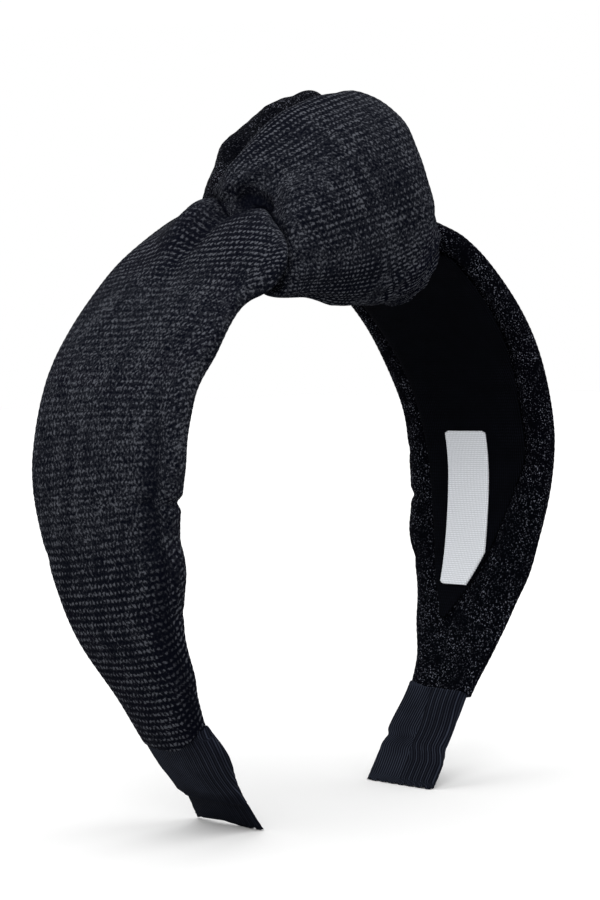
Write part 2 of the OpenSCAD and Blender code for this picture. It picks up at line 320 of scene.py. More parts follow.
def mark_on(tree, name):
    """A mark that the mesh carries."""
    return add(tree, "ShaderNodeAttribute", attribute_name=name).outputs["Fac"]


def blend_colours(tree, share, first, second):
    """The first colour where the share is 0, the second where it is 1."""
    made = add(tree, "ShaderNodeMix", {0: share, 6: first, 7: second}, data_type="RGBA")
    return made.outputs[2]


def fabric(name, roughness, specular):
    """New material, its node tree, its shader, and the cloth's own measure in mm."""
    made = bpy.data.materials.new(name)
    made.use_nodes = True
    surface = made.node_tree.nodes["Principled BSDF"]
    surface.inputs["Roughness"].default_value = roughness
    surface.inputs["Specular IOR Level"].default_value = specular
    measure = add(made.node_tree, "ShaderNodeUVMap", uv_map="weave").outputs[0]
    return made, made.node_tree, surface, measure


def thread_relief(tree, surface, height, strength, distance):
    """Fine relief of the threads on the shader, with its distance in metres."""
    made = add(tree, "ShaderNodeBump", {"Strength": strength, "Distance": distance, "Height": height})
    tree.links.new(made.outputs[0], surface.inputs["Normal"])


YARN_DARK, YARN_LIGHT = (0.0010, 0.0013, 0.0030, 1), (0.0425, 0.045, 0.053, 1)
BACK_DARK, FLECK = (0.0005, 0.0006, 0.0013, 1), (0.105, 0.11, 0.135, 1)
# grains in mm: rubbed patches, loose fibres, cloudy shades, flecks of the wrong side and their patches
RUBBED_GRAIN, FIBRE_GRAIN, CLOUD_GRAIN, FLECK_GRAIN, FLECK_PATCH = 12, 0.62, 6, 0.42, 5
# streaks of darker yarn in mm, along and across the rows, how far the stitches wander, and over how much
STREAK_WIDE, STREAK_LONG, STITCH_WANDER, WANDER_GRAIN = 3.4, 22, 0.7, 5 / 3
cloth, tree, surface, measure = fabric("woven_cloth_dark", 0.95, 0.008)
# the grains lie evenly on the piece, in mm, however the cloth is drawn out
on_piece = add(tree, "ShaderNodeTexCoord").outputs["Object"]
on_piece = way(tree, "MULTIPLY", on_piece, (1 / MM, 1 / MM, 1 / MM))
wander = way(tree, "SUBTRACT", noise_on(tree, measure, WANDER_GRAIN).outputs["Color"], (0.5, 0.5, 0.5))
wander = way(tree, "MULTIPLY", wander, (STITCH_WANDER, STITCH_WANDER, 0))
yarn_at = way(tree, "MULTIPLY", way(tree, "ADD", measure, wander), (1 / STITCH_PITCH, 1 / ROW_PITCH, 1))
parts = add(tree, "ShaderNodeSeparateXYZ", {0: yarn_at})
stitch, row = turned(tree, parts.outputs[0]), turned(tree, parts.outputs[1])
# light stitches stand in rows, with fainter ones between them
weave_light = calc(tree, "MULTIPLY", row, scaled(tree, stitch, 0.55, 0.6))
weave_light = scaled(tree, stitch, 0.18, weave_light)
rubbed = swung(tree, grain(tree, on_piece, RUBBED_GRAIN, 3.0), 1.2)
crisp = calc(tree, "ADD", mark_on(tree, "crisp"), rubbed, clamp=True)
# crisp cloth shows its stitches; rubbed cloth hides them under specks of loose fibre
light = calc(tree, "MULTIPLY", weave_light, scaled(tree, crisp, 0.65, 0.35))
fibre = swung(tree, grain(tree, on_piece, FIBRE_GRAIN), 8.0)
light = scaled(tree, fibre, scaled(tree, crisp, -0.3, 0.7), light)
light = calc(tree, "ADD", light, swung(tree, grain(tree, on_piece, CLOUD_GRAIN, 3.0), 1.2))
streaks = grain(tree, way(tree, "MULTIPLY", measure, (1 / STREAK_WIDE, 1 / STREAK_LONG, 1)), 1)
light = calc(tree, "ADD", light, swung(tree, streaks, 1.1))
sharp = scaled(tree, light, 1.3, -0.26, clamp=True)
soft = scaled(tree, light, 0.42, 0.36, clamp=True)
sharp_share = scaled(tree, crisp, 0.4, 0.6)
soft_share = calc(tree, "SUBTRACT", 1, sharp_share)
light = scaled(tree, sharp, sharp_share, calc(tree, "MULTIPLY", soft, soft_share))
# creases are nearly closed, so little light reaches the yarn in them; this is painted shade, which also
# darkens hollows and the lines where pieces meet
unshaded_share = scaled(tree, mark_on(tree, "crease"), -0.9, 1)
light = calc(tree, "MULTIPLY", light, unshaded_share)
right_side = blend_colours(tree, light, YARN_DARK, YARN_LIGHT)
flecks = scaled(tree, grain(tree, on_piece, FLECK_GRAIN, 1.0), 8.0, -4.85, clamp=True)
patches = scaled(tree, grain(tree, on_piece, FLECK_PATCH), 3.0, -0.85, clamp=True)
# the painted shade darkens the wrong side's flecks too
flecks = calc(tree, "MULTIPLY", calc(tree, "MULTIPLY", flecks, patches), unshaded_share)
wrong_side = blend_colours(tree, flecks, BACK_DARK, FLECK)
cloth_colour = blend_colours(tree, mark_on(tree, "wrong_side"), right_side, wrong_side)
tree.links.new(cloth_colour, surface.inputs["Base Color"])
thread_relief(tree, surface, light, strength=0.6, distance=0.0002)

# half width of the lining at its widest, and how far the turned-in hem stands up beside it, in mm
LINING_HALF, HEM_BULGE = 25.0, 1.3
# share of the leg, then the lining's front and back edges as shares of LINING_HALF
LINING = np.array([
    [0.00, -0.96, 0.84],
    [0.20, -0.96, 0.84],
    [0.30, -0.94, 0.82],
    [0.42, -0.81, 0.73],
    [0.51, -0.78, 0.66],
    [0.56, -0.63, 0.60],
    [0.63, -0.40, 0.50],
    [0.69, -0.17, 0.39],
    [0.75, 0.12, 0.18],
])
# share of the leg, how deep the seam draws the edge in, and over what share of the leg
FRONT_PUCKERS = ((-0.529, 1.9, 0.006), (-0.575, 0.4, 0.010), (-0.385, 1.8, 0.035), (-0.665, 0.5, 0.008))
BACK_PUCKERS = ((0.569, 1.3, 0.007), (0.660, 0.6, 0.010), (0.505, 0.5, 0.010), (-0.60, 0.6, 0.010))


def leg_half(share):
    """Half the band's width at a share of the leg."""
    return column(LEG, 3, np.abs(share)) * BAND_WIDTH / 2


# beside each pucker the cloth swells by this share of its depth, over this many times its reach
BESIDE_RISE, BESIDE_REACH = 0.35, 3.5


def puckered(share, puckers):
    """How far the edge seam's stitches draw an edge in, and the small swell on both sides of each."""
    drawn_in = 0
    for at, depth, reach in puckers:
        swell = BESIDE_RISE * bump(share - at, BESIDE_REACH * reach)
        drawn_in = drawn_in + depth * (bump(share - at, reach) - swell)
    return drawn_in


def swollen(share, swells):
    """How far an edge or a face swells out, or in where below 0, near some shares."""
    return sum(rise * bump(share - at, reach) for at, rise, reach in swells)


def stepped(share, steps):
    """How far an edge moves out, or in where below 0, after some shares."""
    return sum(rise * ease((share - at) / over) for at, rise, over in steps)


def with_hem(ring, share, front, back, high, bulge=HEM_BULGE):
    """Section with the turned-in cloth standing up beside the lining."""
    across, height = ring[:, 0], ring[:, 1]
    lining_front, lining_back = column(LINING, 1, abs(share)), column(LINING, 2, abs(share))
    edge = np.where(across < 0, -lining_front, lining_back) * LINING_HALF
    room = np.where(across < 0, front, back) - edge
    t = np.clip((np.abs(across) - edge) / np.maximum(room, 0.5), 0, 1)
    under = ease(1 - height / (0.6 * high))
    fade = 1 - ease((abs(share) - 0.66) / 0.1)
    ring[:, 1] = height - bulge * np.sin(math.pi * t) ** 0.6 * under * fade
    return ring


# how much higher the cloth is cut at the left leg's front edge and at the right leg's back edge
CUT_LEFT, CUT_RIGHT = 0.042, 0.007


def cloth_end(share, across):
    """Share of the leg for a point near the cloth's lower end, which isn't cut square."""
    cut_higher = CUT_LEFT * ease((-across - 1) / 19) if share < 0 else CUT_RIGHT * ease((across - 2) / 8)
    return share - np.sign(share) * cut_higher * ease((abs(share) - 0.74) / 0.11)


# share of the leg, then how much of the roll is there
ROLL = np.array([[-1.0, 0], [-0.4, 0], [-0.31, 0.05], [-0.25, 0.22], [-0.19, 1.0], [0, 1.0]])
# how far the roll stands out at the front, and draws in the back edge, in mm
ROLL_REACH, BACK_DRAW = 8.3, 2.0
# folds and a valley on the roll, in mm: middle across the band, width, rise
BACK_FOLD, FRONT_FOLD, FOLD_VALLEY = (6.0, 7.5, 3.1), (-19.0, 11.0, 1.7), (-1.5, 3.6, -2.55)
# the nose: share of the leg that it takes, its middle across the band in mm, and how round it is
NOSE_LONG, NOSE_MIDDLE, NOSE_ROUND = 0.035, -6.0, 2.4
NOSE_FROM = KNOT_LEFT - NOSE_LONG
# the valley beside the front edge: mm in from the edge, how fast it nears the edge lower down, and depth
VALLEY_INSET, VALLEY_NEARS, VALLEY_DEPTH = 7.0, 18.75, 1.5
# share of the leg, rise in mm, and over what share of the leg
LEFT_FRONT_SWELLS = ((-0.49, 1.0, 0.03), (-0.61, 1.4, 0.03), (-0.853, -0.7, 0.02))
LEFT_FRONT_STEPS = ((0.68, 1.5, 0.08),)
LEFT_PADDING_SWELLS = ((-0.33, -0.7, 0.08), (-0.25, -0.6, 0.04))


def fold_height(across, fold):
    """Height of a fold at points across the band."""
    middle, width, rise = fold
    return rise * bump(across - middle, width)


def roll_folds(share, across, grow):
    """Height of the folds on the rolled part; the back one dies away before the nose."""
    before_nose = ease((NOSE_FROM + 0.06 - share) / 0.05)
    front_folds = fold_height(across, FRONT_FOLD) + fold_height(across, FOLD_VALLEY)
    return grow**2 * fold_height(across, BACK_FOLD) * before_nose + grow * front_folds


def roll_shade(share, across, grow):
    """Painted shade on the rolled part: under the knot, and in the valley between its folds."""
    under_knot = bump(across + 10, 7) * ease((share - NOSE_FROM + 0.012) / 0.014)
    in_valley = np.maximum(0.5 * bump(across + 1.5, 3), 0.3 * bump(across - 4, 9))
    return np.maximum(under_knot, grow**2 * in_valley)


LEFT_SECTIONS, NOSE_SECTIONS, NOSE_OPEN = 360, 26, 0.004


def left_leg_rings():
    """Sections of the left leg, their shares, where on the leg each point lies, and its painted shade in
    creases.
    """
    shares = np.r_[
        np.linspace(-HEM_AT, NOSE_FROM, LEFT_SECTIONS)[:-1],
        NOSE_FROM + (NOSE_LONG - NOSE_OPEN) * np.sin(np.linspace(0, math.pi / 2, NOSE_SECTIONS)),
    ]
    rings, lies_at, painted_shades = [], [], []
    for share in shares:
        grow = column(ROLL, 1, share)
        half = leg_half(share)
        front = half + ROLL_REACH * grow - puckered(share, FRONT_PUCKERS)
        front = front + swollen(share, LEFT_FRONT_SWELLS) + stepped(-share, LEFT_FRONT_STEPS)
        back = half - BACK_DRAW * grow - puckered(share, BACK_PUCKERS)
        high = column(LEG, 4, abs(share)) * PAD + swollen(share, LEFT_PADDING_SWELLS)
        ring = pad_ring(front, back, 0, high)
        across = ring[:, 0]
        outer = ease((ring[:, 1] / high - 0.4) / 0.4)
        # a shallow valley beside the front edge, where the wadding ends
        inset = VALLEY_INSET - VALLEY_NEARS * np.clip(-share - 0.46, -0.1, 0.32)
        valley = VALLEY_DEPTH * bump(across + front - inset, 2.4) * ease((-share - 0.36) / 0.1)
        ring[:, 1] += (roll_folds(share, across, grow) - valley) * outer
        # painted shade in the valley beside the front edge, on its outer face
        valley_shade = 0.8 * bump(across + front - inset, 2.6) * ease((-share - 0.4) / 0.1)
        valley_shade = valley_shade * ease((ring[:, 1] / high - 0.25) / 0.25)
        painted_shades.append(np.maximum(valley_shade, roll_shade(share, across, grow) * outer))
        ring = with_hem(ring, share, front, back, high, HEM_BULGE * ease((-share - 0.3) / 0.06))
        # the sections shrink round to a point in the nose, which reaches further at its middle
        into_nose = np.clip((share - NOSE_FROM) / NOSE_LONG, 0, 1)
        centre = np.array([NOSE_MIDDLE, 0.45 * high])
        ring = centre + (ring - centre) * (1 - into_nose**NOSE_ROUND) ** (1 / NOSE_ROUND)
        reach_on = 0.025 * into_nose * bump(across - 3, 8)
        lies_at.append(slant(cloth_end(share, ring[:, 0]), ring[:, 0], ring[:, 1]) + reach_on)
        rings.append(place(lies_at[-1], ring[:, 0], ring[:, 1]))
    return np.array(rings), shares, np.array(lies_at), np.array(painted_shades)


# the cloth turns in this many mm inside the edge; its rows climb there, and lie askew on the left leg
TURN_INSET, TURN_LONG, ROWS_CLIMB, ROWS_ASKEW = 3.0, 14.0, 0.65, 0.13


def leg_piece(name, rings, shares, lies_at, node, crisp, painted_shades=0.0):
    """One leg with its rows, which climb where the cloth turns in, and its wrong side on the hem."""
    middle = rings.shape[1] // 2
    is_left = shares[0] < 0
    across, along = measured(rings, middle)
    straight = np.interp(lies_at, lies_at[:, middle], along[:, middle])
    along = np.concatenate([straight, straight[:, :1]], 1)
    turn = leg_half(shares)[:, None] - TURN_INSET
    askew = ROWS_ASKEW * ease((np.abs(shares[:, None]) - 0.36) / 0.2) * is_left
    climb = ROWS_CLIMB * np.clip(-across - turn, 0, TURN_LONG) + askew * np.clip(-across, -turn, turn)
    along = along - climb if is_left else along + climb
    rings = rings + outward_normals(rings) * slack(across, along)[:, :-1, None]
    rings = with_rows(rings, along)
    # the wrong side starts further out on the right leg than on the left one, above all at its front edge
    past = np.abs(across[:, :-1]) - turn
    hem_from = np.where(across[:, :-1] < 0, -3, 3)
    wrong_side = ease((past - 7) / 4) if is_left else ease((past - hem_from) / 5)
    piece = loft(name, rings, across, along, wrong_side=wrong_side, crisp=crisp[:, None], crease=painted_shades)
    piece.data.materials.append(cloth)
    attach(piece, "root")
    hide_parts(node)
    return piece


rings, shares, lies_at, painted_shades = left_leg_rings()
# the stitches show best near the tip and beside the knot, and are lost on the nose
left_crisp = 0.15 + 0.5 * ease((-shares - 0.52) / 0.14) + 0.5 * ease((shares + 0.30) / 0.1)
left_crisp = left_crisp - 0.6 * ease((shares - NOSE_FROM + 0.005) / 0.015)
left_leg = leg_piece("leg_left", rings, shares, lies_at, "band_left", left_crisp, painted_shades)

# Right leg: the same pad and cloth. It comes out from under the knot and opens to its full width.
# Its turned-in hem shows beside the lining, with the cloth's darker wrong side.
NARROW_HALF, NARROW_PAD, RIGHT_SECTIONS = 13, 0.8 * PAD, 420
# share of the leg, rise in mm, and over what share of the leg
RIGHT_FRONT_SWELLS = ((0.63, -1.3, 0.05), (0.71, -0.9, 0.03))
RIGHT_FRONT_STEPS = ((0.78, -1.2, 0.06),)
RIGHT_BACK_SWELLS = ((0.53, 0.7, 0.06), (0.62, 2.2, 0.035))
RIGHT_BACK_STEPS = ((0.74, -2.0, 0.08),)
RIGHT_PADDING_SWELLS = ((0.15, -0.8, 0.04), (0.27, 0.9, 0.06))


def right_leg_rings():
    """Sections of the right leg, their shares, and where on the leg each point lies."""
    shares = np.linspace(0.02, HEM_AT, RIGHT_SECTIONS)
    rings, lies_at = [], []
    for share in shares:
        opened = ease((share - 0.03) / 0.14)
        half = NARROW_HALF + (leg_half(share) - NARROW_HALF) * opened
        front = half + swollen(share, RIGHT_FRONT_SWELLS) + stepped(share, RIGHT_FRONT_STEPS)
        back = half + swollen(share, RIGHT_BACK_SWELLS) + stepped(share, RIGHT_BACK_STEPS)
        back = back - puckered(share, BACK_PUCKERS)
        high = NARROW_PAD + (column(LEG, 4, share) * PAD - NARROW_PAD) * opened
        high = high + swollen(share, RIGHT_PADDING_SWELLS)
        ring = with_hem(pad_ring(front, back, 0, high), share, front, back, high)
        lies_at.append(slant(cloth_end(share, ring[:, 0]), ring[:, 0], ring[:, 1]))
        rings.append(place(lies_at[-1], ring[:, 0], ring[:, 1]))
    return np.array(rings), shares, np.array(lies_at)


rings, shares, lies_at = right_leg_rings()
right_crisp = 0.25 + 0.6 * ease((shares - 0.55) / 0.15)
leg_piece("leg_right", rings, shares, lies_at, "band_right", right_crisp)

# Knot, front lobe: the right leg's cloth, which comes up over the crown, puffs out and tucks in at the nose.
# It is stuffed with the same wadding and caught down by hand stitches at its two ends.
KNOT_RIGHT = 0.12
# in mm: drop below the band's inner face, level of the widest line and its fall at the right end
WRAP_DROP, WRAP_WAIST, WAIST_FALL, UNDER_BAND = 23.0, -3.0, 6.0, 3.55
# in mm: rise over the band, depth of the crease between the lobes, and how far back it lies
KNOT_RISE, CREASE, CREASE_BACK = 27.0, 9.0, 8.0
# share of the leg, then shares of the sizes: top, reach, drop
WRAP = np.array([
    [-0.125, 0.32, 0.84, 0.02],
    [-0.118, 0.45, 0.92, 0.09],
    [-0.090, 0.60, 0.96, 0.46],
    [-0.060, 0.73, 0.98, 0.80],
    [-0.030, 0.86, 1.00, 0.90],
    [0.000, 0.95, 1.00, 0.94],
    [0.025, 1.00, 1.00, 0.97],
    [0.047, 1.06, 1.00, 0.95],
    [0.068, 0.96, 1.00, 0.89],
    [0.090, 0.54, 1.00, 0.86],
    [0.108, 0.35, 0.98, 0.83],
    [0.120, 0.30, 0.90, 0.66],
])


def softened(line, width):
    """A line of points with its corners rounded, its two ends kept."""
    reach = int(3 * width)
    weight = bump(np.arange(-reach, reach + 1), width * math.sqrt(2))
    weight /= weight.sum()
    start, end = 2 * line[:1] - line[reach:0:-1], 2 * line[-1:] - line[-2 : -reach - 2 : -1]
    padded_line = np.concatenate([start, line, end])
    flat = padded_line.reshape(len(padded_line), -1)
    soft = np.stack([np.convolve(flat[:, k], weight, "valid") for k in range(flat.shape[1])], -1)
    return soft.reshape(line.shape)


def knot_shares(t):
    """Shares of the leg from the knot's left end to its right end, closer together at both ends."""
    return KNOT_LEFT + (KNOT_RIGHT - KNOT_LEFT) * (0.5 - 0.5 * np.cos(t * math.pi))


# share of the leg that the front lobe's underside runs on
TAIL = 0.026


def tail_reach(share, line, side):
    """How far the front lobe's underside runs on to the left, behind the nose, as a share of the leg."""
    under, forward = ease(-line[:, 1] / 6), ease((-line[:, 0] - 8) / 10)
    return TAIL * (side < 0) * under * forward * ease((-0.05 - share) / 0.075)


def lobe(table, reach_full, drop_full, waist_full, side, rounds, around, hollows=()):
    """Open lines of one lobe of the knot, from its seam below round its side to the crease above."""
    lines = []
    angle = np.linspace(0, math.pi, 181)
    s, c = np.sin(angle), -np.cos(angle)
    for share in knot_shares(np.linspace(0, 1, rounds)):
        top = column(table, 1, share) * (PAD + KNOT_RISE)
        reach = column(table, 2, share) * reach_full
        drop = column(table, 3, share) * drop_full + UNDER_BAND
        waist = waist_full - WAIST_FALL * ease((share - 0.02) / 0.1) * (side < 0)
        wide = reach * np.maximum(s, 0) ** np.where(c < 0, 0.5, 0.85)
        under = 0.3 + 0.7 * ease(wide / (reach * 0.7))
        crease = CREASE * top / (PAD + KNOT_RISE) * ease(1 - wide / (reach * 0.45))
        crease = crease + sum(deep * bump(share - at, 0.012) * bump(wide, 6) for at, deep in hollows)
        below = waist + (-drop * under - waist) * np.abs(c) ** 0.8
        above = waist + (top - waist) * np.abs(c) ** 0.8 - crease
        across = side * np.maximum(wide, 0.2) + CREASE_BACK * (c > 0) * (1 - (wide / reach) ** 2)
        line = evenly(np.stack([across, np.where(c < 0, below, above)], -1), around)
        line = evenly(softened(line, 0.022 * around), around)
        lies_at = slant(share, line[:, 0], line[:, 1]) - tail_reach(share, line, side)
        lines.append(place(lies_at, line[:, 0], line[:, 1]))
    return np.array(lines)


FILLING_POINTS = 12


def closed_lobe(lines, side):
    """The lobe closed down the middle of the knot, where nothing shows."""
    steps = np.linspace(0, 1, FILLING_POINTS + 2)[1:-1, None]
    rings = np.array([np.concatenate([line, line[-1] + (line[0] - line[-1]) * steps]) for line in lines])
    return rings if side < 0 else rings[:, ::-1]


# The rows run across the lobe as straight lines, seen from the front and left, rising to the right
TOWARDS_RIGHT = np.array([0.711, -0.703, 0])
ROW_START, ROW_LOW, ROW_RISE, ROW_CURVE = -10.0, 131.0, 50.0, 0.003
# slopes of the rows in degrees: at the bottom, gained by the middle, and gained at the top
SLOPE_LOW, SLOPE_MIDDLE, SLOPE_TOP = 1, 17, 7
# how loosely the rows lie, how low they start to be gathered, and the row that they are measured from
ROW_LOOSE, ROW_TIGHT, MIDDLE_ROW = 0.90, 46.0, 0.45


def row_share(points):
    """Which row line a point is on: 0 for the lowest, 1 for the highest."""
    out, up = points @ TOWARDS_RIGHT, points[..., 2]
    low, high = np.full(out.shape, -0.6), np.full(out.shape, 1.8)
    curve = ROW_CURVE * np.maximum(out, 0) ** 2
    for _ in range(25):
        share = (low + high) / 2
        degrees = SLOPE_LOW + SLOPE_MIDDLE * ease((share + 0.02) / 0.42)
        slope = np.tan(np.radians(degrees + SLOPE_TOP * ease((share - 0.7) / 0.5)))
        row_up = ROW_LOW + ROW_RISE * share + (out - ROW_START) * slope + curve
        low, high = np.where(row_up < up, share, low), np.where(row_up < up, high, share)
    return (low + high) / 2


def rows_across(lines):
    """Measure across the rows on a lobe, and where each line crosses the middle row."""
    share = row_share(lines)
    run = np.concatenate([np.zeros((len(lines), 1)), np.cumsum(steps_long(lines, 1), 1)], 1)
    model = len(lines) // 2
    rising = slice(np.argmin(share[model]), np.argmax(share[model]) + 1)
    model_share, model_run = share[model, rising], run[model, rising]
    model_level = np.interp(MIDDLE_ROW, model_share, model_run)
    side_part = np.arange(lines.shape[1] // 4, int(lines.shape[1] * 0.85))
    across = np.zeros_like(run)
    start = np.zeros(len(lines), int)
    for i in range(len(lines)):
        wanted = np.interp(share[i], model_share, model_run)
        pace = np.clip(np.gradient(wanted) / np.maximum(np.gradient(run[i]), 1e-6), 0.92, 1.4)
        pace = softened(pace, 4)
        level = np.r_[0, np.cumsum((pace[1:] + pace[:-1]) / 2 * np.diff(run[i]))]
        start[i] = side_part[np.argmin(np.abs(share[i, side_part] - MIDDLE_ROW))]
        off_middle = (share[i, start[i]] - MIDDLE_ROW) * ROW_RISE
        across[i] = model_level + off_middle + level - level[start[i]]
    across = softened(across, 3) * ROW_LOOSE
    # the cloth is gathered more tightly along the bottom
    low = np.maximum(0, ROW_TIGHT - across)
    return across - 0.8 * low**2 / (low + 4), start


def gathered_rows(lines, side):
    """Measure along and across the cloth on a lobe whose rows follow the row lines."""
    across, start = rows_across(lines)
    # along the rows: how far each step on the lobe goes in the direction of its row
    step_i, step_j = np.gradient(lines, axis=0), np.gradient(lines, axis=1)
    rise_i, rise_j = np.gradient(across, axis=0)[..., None], np.gradient(across, axis=1)[..., None]
    row_way = rise_j * step_i - rise_i * step_j
    row_way /= np.maximum(np.linalg.norm(row_way, axis=-1, keepdims=True), 1e-9)
    go_i, go_j = (step_i * row_way).sum(-1), (step_j * row_way).sum(-1)
    every = np.arange(len(lines))
    base, part = np.cumsum(go_i[every, start]), np.cumsum(go_j, 1)
    along = softened((base - part[every, start])[:, None] + part, 3)
    # the closed part of the lobe keeps the measure of the crease
    along = np.concatenate([along, np.repeat(along[:, -1:], FILLING_POINTS + 1, 1)], 1)
    across = np.concatenate([across, np.repeat(across[:, -1:], FILLING_POINTS + 1, 1)], 1)
    return (along, across) if side < 0 else (along[:, ::-1], across[:, ::-1])


# above the nose the cloth is pulled into a deep hollow, a long oval round two points, darkened with painted
# shade
NOSE_HOLLOW = place(np.array([-0.127, -0.136]), np.array([-7.5, -15.5]), np.array([10.0, 7.5]))
NOSE_HOLLOW_REACH, NOSE_HOLLOW_DEPTH = 14.5, 2.0
PLEAT_RISE = 0.45


def distance_to(rings, neighbour):
    """Distance in mm from each point of a loft to the nearest point of a piece made before."""
    nearest = KDTree(len(neighbour.data.vertices))
    for vertex in neighbour.data.vertices:
        nearest.insert(vertex.co / MM, vertex.index)
    nearest.balance()
    return np.array([nearest.find(point)[2] for point in rings.reshape(-1, 3)]).reshape(rings.shape[:2])


def lobe_crispness(rings, along, across):
    """How well the stitches show on a lobe: best near its bottom and high on its left."""
    rounds = np.linspace(0, 1, len(rings))[:, None]
    crisp = 0.2 + 0.6 * ease((41 - across[:, :-1]) / 10) + 0.2 * np.sin(across[:, :-1] / 6.5)
    crisp = crisp + 0.4 * (1 - ease((rounds - 0.4) / 0.3)) * ease((rings[..., 2] - 163) / 8)
    # where the cloth is drawn out, its stitches are lost in the fibres
    spread = np.linalg.norm(np.cross(np.gradient(rings, axis=0), np.gradient(rings, axis=1)), axis=-1)
    along_i, along_j = np.gradient(along)
    across_i, across_j = np.gradient(across)
    cloth_used = np.abs(along_i * across_j - along_j * across_i)[:, :-1]
    return crisp - 1.5 * ease((0.75 - cloth_used / np.maximum(spread, 1e-6)) / 0.4)


def knot_lobe(name, lines, side, node, neighbour, wrong_side, pleating, hollows=()):
    """One lobe with soft pleats along its rows, deepest at its gathered left end and along its bottom."""
    rings = closed_lobe(lines, side)
    along, across = gathered_rows(lines, side)
    rounds = np.linspace(0, 1, len(rings))[:, None]
    gathered = 0.15 + 0.6 * (1 - ease(rounds / 0.45)) + 0.35 * ease((34 - across[:, :-1]) / 10)
    pleat = pleating * gathered * np.sin(across[:, :-1] / 1.7 + 1.6 * np.sin(along[:, :-1] / 13))
    reach = sum(np.linalg.norm(rings - end, axis=2) for end in NOSE_HOLLOW)
    nose_hollow = ease((NOSE_HOLLOW_REACH - reach) / 4)
    swell = slack(along, across)[:, :-1] + PLEAT_RISE * pleat - NOSE_HOLLOW_DEPTH * nose_hollow
    rings = with_rows(rings + outward_normals(rings) * swell[..., None], across)
    crisp = lobe_crispness(rings, along, across)
    # painted shade in the nose hollow and in the stitch hollows, which lie along the crease at the end of
    # each open line
    to_crease = ease((15 - np.linalg.norm(rings - lines[:, -1:], axis=2)) / 7)
    crease = nose_hollow + sum(bump(knot_shares(rounds) - at, 0.015) * to_crease for at, _ in hollows)
    # and painted shade where the cloth meets the piece beside it
    crease = np.maximum(np.minimum(crease, 1), ease((2.4 - distance_to(rings, neighbour)) / 1.6))
    piece = loft(name, rings, along, across, wrong_side=wrong_side, crisp=crisp, crease=crease)
    piece.data.materials.append(cloth)
    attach(piece, "root")
    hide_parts(node)
    return piece


front_lines = lobe(WRAP, WRAP_REACH, WRAP_DROP, WRAP_WAIST, -1, rounds=200, around=280)
front_lobe = knot_lobe("knot_front", front_lines, -1, "knot_wrap", left_leg, 0.0, pleating=1.0)

# Knot, back lobe: the rest of the twisted cloth, a darker roll that shows behind the front lobe.
# It is drawn in by three stitches, which leave deep hollows along the crease between the two lobes, darkened
# with painted shade.
BACK_REACH, BACK_DROP, BACK_WAIST = 34.5, 12.0, PAD / 2
# share of the leg, then shares of the sizes: top, reach, drop
BACK = np.array([
    [-0.125, 0.24, 0.68, 0.00],
    [-0.112, 0.36, 0.74, 0.30],
    [-0.090, 0.51, 0.80, 0.60],
    [-0.077, 0.63, 0.84, 0.70],
    [-0.050, 0.73, 0.90, 0.90],
    [-0.010, 0.88, 0.97, 1.00],
    [0.030, 1.05, 1.00, 1.00],
    [0.054, 1.13, 1.00, 0.90],
    [0.080, 1.23, 0.98, 0.70],
    [0.097, 1.06, 0.95, 0.45],
    [0.112, 0.62, 0.90, 0.20],
    [0.120, 0.32, 0.86, 0.02],
])
# share of the leg and depth in mm of each stitch hollow
HOLLOWS = ((-0.066, 4.0), (-0.002, 4.0), (0.045, 3.0))
back_lines = lobe(BACK, BACK_REACH, BACK_DROP, BACK_WAIST, 1, rounds=200, around=240, hollows=HOLLOWS)
knot_lobe("knot_back", back_lines, 1, "knot_roll", front_lobe, 0.95, pleating=0.3, hollows=HOLLOWS)

# Lining: thin black knitted cloth, laid on the inner face and caught under the turned-in hems.
# It runs through the knot from leg to leg and is cut to a point at both ends.
LINING_THICK, LINING_LOW, LINING_LAST = 0.6, -0.45, 0.75
LINING_IN_KNOT = 10.0
# length of one leg's inner line in mm, from crown to floor
LEG_RUN = 198.5
KNIT_DARK, KNIT_LIGHT = (0.0005, 0.0006, 0.0009, 1), (0.0028, 0.0032, 0.0052, 1)
WALE_PITCH, LOOP_PITCH, KNIT_GRAIN = 0.7, 0.9, 6


def lining_edge(which, share):
    """Front or back edge of the lining, in mm across the band; it is drawn narrow inside the knot."""
    outside = column(LINING, which, np.abs(share)) * LINING_HALF
    inside = (-LINING_IN_KNOT, LINING_IN_KNOT)[which - 1]
    past = np.where(share > 0, share - KNOT_RIGHT, KNOT_LEFT - 0.08 - share)
    return inside + (outside - inside) * ease(past / 0.06)


def flat_piece(name, shares, front, back, low, thick, count, raised):
    """Thin cloth on the inner face, from its front edge to its back edge and round underneath."""
    t = np.linspace(0, 1, count)[None, :]
    across = front[:, None] + (back - front)[:, None] * t
    run = (shares - shares[0])[:, None] * LEG_RUN + 0 * across
    edge = 1 - 0.7 * np.abs(2 * t - 1) ** 24
    seen = place(shares[:, None], across, low - thick * edge - raised(across, run))
    hidden = place(shares[:, None], across[:, ::-1], low)
    rings = np.concatenate([seen, hidden], 1)
    u = np.concatenate([across, across[:, ::-1], across[:, :1]], 1)
    v = np.concatenate([run, run, run[:, :1]], 1)
    piece = loft(name, rings, u, v)
    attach(piece, "root")
    return piece


def lining_waves(across, run):
    """Height of the lining's waves, lower than those of the outer cloth."""
    return 0.4 * slack(across, run)


def thread_wave(tree, value, pitch):
    """From 0 to 1 and back for each thread."""
    return scaled(tree, turned(tree, calc(tree, "MULTIPLY", value, 1 / pitch)), 0.5, 0.5)


